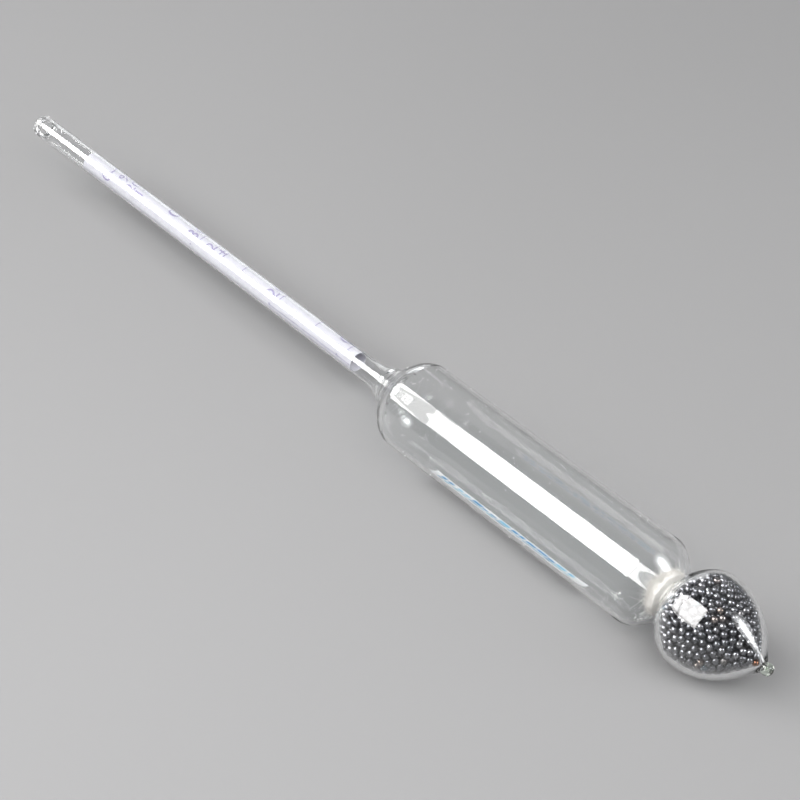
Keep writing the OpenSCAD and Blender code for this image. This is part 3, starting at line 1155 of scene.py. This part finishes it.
# ---------------------------------------------------------------- floor, lights and camera
def stage_floor():
    mat, nodes, links = new_material("floor_matt")
    cloud = noise_value(nodes, links, 3, 2)
    greys = [(0.3, (0.235, 0.235, 0.238)), (0.7, (0.248, 0.248, 0.252))]
    colour = ramp(nodes, links, cloud, greys)
    shader = principled(nodes, links, base_color=colour, roughness=0.8, specular_ior_level=0.2)
    output(nodes, links, shader.outputs[0])
    bm = bmesh.new()
    bmesh.ops.create_grid(bm, x_segments=8, y_segments=8, size=4)
    mesh = bpy.data.meshes.new("floor")
    bm.to_mesh(mesh)
    bm.free()
    mesh.materials.append(mat)
    floor = linked_object("floor", mesh)


def direction(azimuth, elevation):
    """The way towards a viewer at these angles. Azimuth 0 is a viewer who looks along +Y."""
    a, e = math.radians(azimuth), math.radians(elevation)
    return Vector((math.sin(a) * math.cos(e), -math.cos(a) * math.cos(e), math.sin(e)))


def area_light(name, place, towards, size, radiance, colour, seen_by, shape="RECTANGLE"):
    """A soft light that looks equally bright from everywhere in front of it. seen_by is matt, gloss
    or both: the kinds of surface that it lights."""
    data = bpy.data.lights.new(name, "AREA")
    data.shape = shape
    data.size, data.size_y = size
    area = size[0] * size[1] * (math.pi / 4 if shape == "ELLIPSE" else 1)
    data.energy = 4 * radiance * area  # Blender divides power by four times the area
    data.color = colour
    light = linked_object(name, data)
    light.location = place
    light.rotation_euler = (Vector(towards) - Vector(place)).to_track_quat("-Z", "Y").to_euler()
    light.visible_diffuse = seen_by != "gloss"
    light.visible_glossy = light.visible_transmission = seen_by != "matt"


WARM, COOL = (1, 0.99, 0.98), (0.97, 0.985, 1)
BODY_SPOT, BULB_SPOT = (0.05, 0, 0.01), (0.1, 0, 0.01)

# The main strip hangs along the stem, square to the camera's plane through the axis
STRIP_WAY, STRIP_HEIGHT, STRIP_WIDTH = Vector((0, -0.6043, 0.7967)), 0.7, 0.6
# Matt surfaces get one even strip. Glass mirrors five lengths of it, brighter and dimmer in turn.
# The matt one hangs a little higher, since lights in one plane would hide each other.
# (name, start, end, rise, radiance, seen by), in metres along X
STRIPS = [
    ("key_strip", -1.05, 0.2, 0.01, 3.8, "matt"),
    ("key_far", -1.6, -0.47, 0, 9.2, "gloss"),
    ("key_left", -0.47, -0.43, 0, 3.4, "gloss"),
    ("key_core", -0.43, -0.27, 0, 8.5, "gloss"),
    ("key_right", -0.27, -0.22, 0, 2.8, "gloss"),
    ("key_end", -0.22, 0.18, 0, 9.6, "gloss"),
]
# The lamp behind the tip, brighter towards its middle: (name, nearness, size, radiance, seen by)
RIM_AT = Vector((0.774, 0.424, 0.47))
RIMS = [
    ("rim_box", 1, (0.55, 0.75), 1.6, "both"),
    ("rim_halo", 0.995, (0.34, 0.52), 3.5, "gloss"),
    ("rim_shine", 0.99, (0.24, 0.38), 5.0, "gloss"),
    ("rim_core", 0.985, (0.15, 0.26), 8.0, "gloss"),
]


def studio():
    for name, start, end, rise, radiance, seen_by in STRIPS:
        middle = Vector(((start + end) / 2, 0, AXIS_Z)) + STRIP_WAY * (STRIP_HEIGHT + rise)
        size = (end - start, STRIP_WIDTH)
        area_light(name, middle, middle - STRIP_WAY, size, radiance, WARM, seen_by)
    for name, nearness, size, radiance, seen_by in RIMS:
        area_light(name, RIM_AT * nearness, BULB_SPOT, size, radiance, COOL, seen_by, "ELLIPSE")
    area_light("side_panel", (-1.3, 0.8, 0.3), (-1.3, 0, 0.3), (1.35, 0.6), 1.1, COOL, "gloss")
    area_light("fill", direction(78, 52) * 1.2, BODY_SPOT, (0.9, 0.9), 5.0, WARM, "matt")
    world = bpy.data.worlds.new("studio")
    bpy.context.scene.world = world
    world.use_nodes = True
    background = world.node_tree.nodes["Background"]
    background.inputs["Color"].default_value = (0.15, 0.155, 0.16, 1)
    background.inputs["Strength"].default_value = 1.0


# Fitted to the photograph, in degrees, metres and mm of lens
CAMERA_AZIMUTH, CAMERA_ELEVATION, CAMERA_ROLL = 48.73, 40.96, 0.229
CAMERA_DISTANCE, CAMERA_TARGET, CAMERA_LENS = 0.563, Vector((0.01628, -0.00085, 0.01085)), 106.65


def camera():
    data = bpy.data.cameras.new("camera")
    data.sensor_width = 36
    data.lens = CAMERA_LENS
    data.clip_start, data.clip_end = 0.01, 50
    cam = linked_object("camera", data)
    back = direction(CAMERA_AZIMUTH, CAMERA_ELEVATION)
    cam.location = CAMERA_TARGET + back * CAMERA_DISTANCE
    level = (-back).to_track_quat("-Z", "Y")
    cam.rotation_euler = (level @ Quaternion((0, 0, 1), math.radians(CAMERA_ROLL))).to_euler()
    bpy.context.scene.camera = cam


stage_floor()
studio()
camera()

scene = bpy.context.scene
scene.view_settings.view_transform = "Standard"
# Light has to get through several walls of glass, one behind another
scene.cycles.caustics_reflective = False
scene.cycles.caustics_refractive = False
scene.cycles.max_bounces = 24
scene.cycles.transmission_bounces = 24
scene.cycles.glossy_bounces = 12
scene.cycles.transparent_max_bounces = 24
